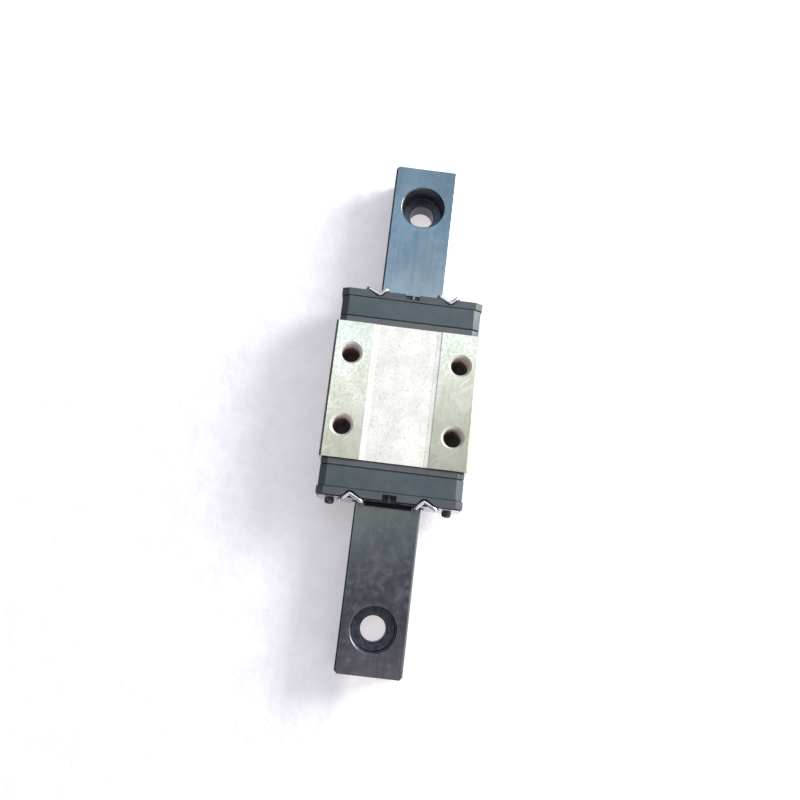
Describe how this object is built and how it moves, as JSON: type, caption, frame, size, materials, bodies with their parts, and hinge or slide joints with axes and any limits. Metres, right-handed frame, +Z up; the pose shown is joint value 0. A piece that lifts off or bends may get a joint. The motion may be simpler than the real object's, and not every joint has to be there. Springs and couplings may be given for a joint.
{
  "type": "linear guide carriage",
  "caption": "Miniature linear guide: a ground steel ball carriage with black end caps, riding on a short black-coated rail with counterbored holes.",
  "frame": {"origin": "middle of the rail's underside, half way along the rail", "axes": "+X along the rail, +Y to the rail's left seen from behind, +Z up out of the rail's base; the carriage stands 1.06 mm towards +X of the middle at rest"},
  "size_m": [0.072, 0.02, 0.01],
  "materials": {
    "rail_black": "black-coated ground steel, satin, faint lengthwise grinding marks",
    "block_steel": "ground strips, with an unground matte recess between them",
    "return_plate": "dark grey moulded plastic, satin",
    "cap_plastic": "dark grey moulded plastic, satin",
    "seal_rubber": "dark rubber, satin",
    "scraper_steel": "thin stamped stainless sheet, satin",
    "plug_plastic": "black plastic",
    "black_screw": "black oxide, slightly glossy",
    "wire_steel": "bright drawn stainless wire",
    "ball_steel": "polished bearing steel"
  },
  "bodies": {
    "rail": {"rail": "rail_black"},
    "carriage": {"carriage_block": "block_steel", "ball_return_plate_far": "return_plate", "ball_return_plate_near": "return_plate", "end_cap_far": "cap_plastic", "end_cap_near": "cap_plastic", "end_seal_far": "seal_rubber", "end_seal_near": "seal_rubber", "scraper_plate_far": "scraper_steel", "scraper_plate_near": "scraper_steel", "grease_plug_far": "plug_plastic", "grease_plug_near": "plug_plastic", "cap_screw_far_left": "black_screw", "cap_screw_far_right": "black_screw", "cap_screw_near_left": "black_screw", "cap_screw_near_right": "black_screw", "retainer_wire_left": "wire_steel", "retainer_wire_right": "wire_steel", "loaded_balls_left": "ball_steel", "loaded_balls_right": "ball_steel", "return_balls_left": "ball_steel", "return_balls_right": "ball_steel", "turning_balls_far_left": "ball_steel", "turning_balls_far_right": "ball_steel", "turning_balls_near_left": "ball_steel", "turning_balls_near_right": "ball_steel"}
  },
  "joints": [
    {"name": "carriage_slide", "type": "slide", "parent": "rail", "child": "carriage", "axis": [1, 0, 0], "range_m": [-0.0225, 0.0204]}
  ]
}
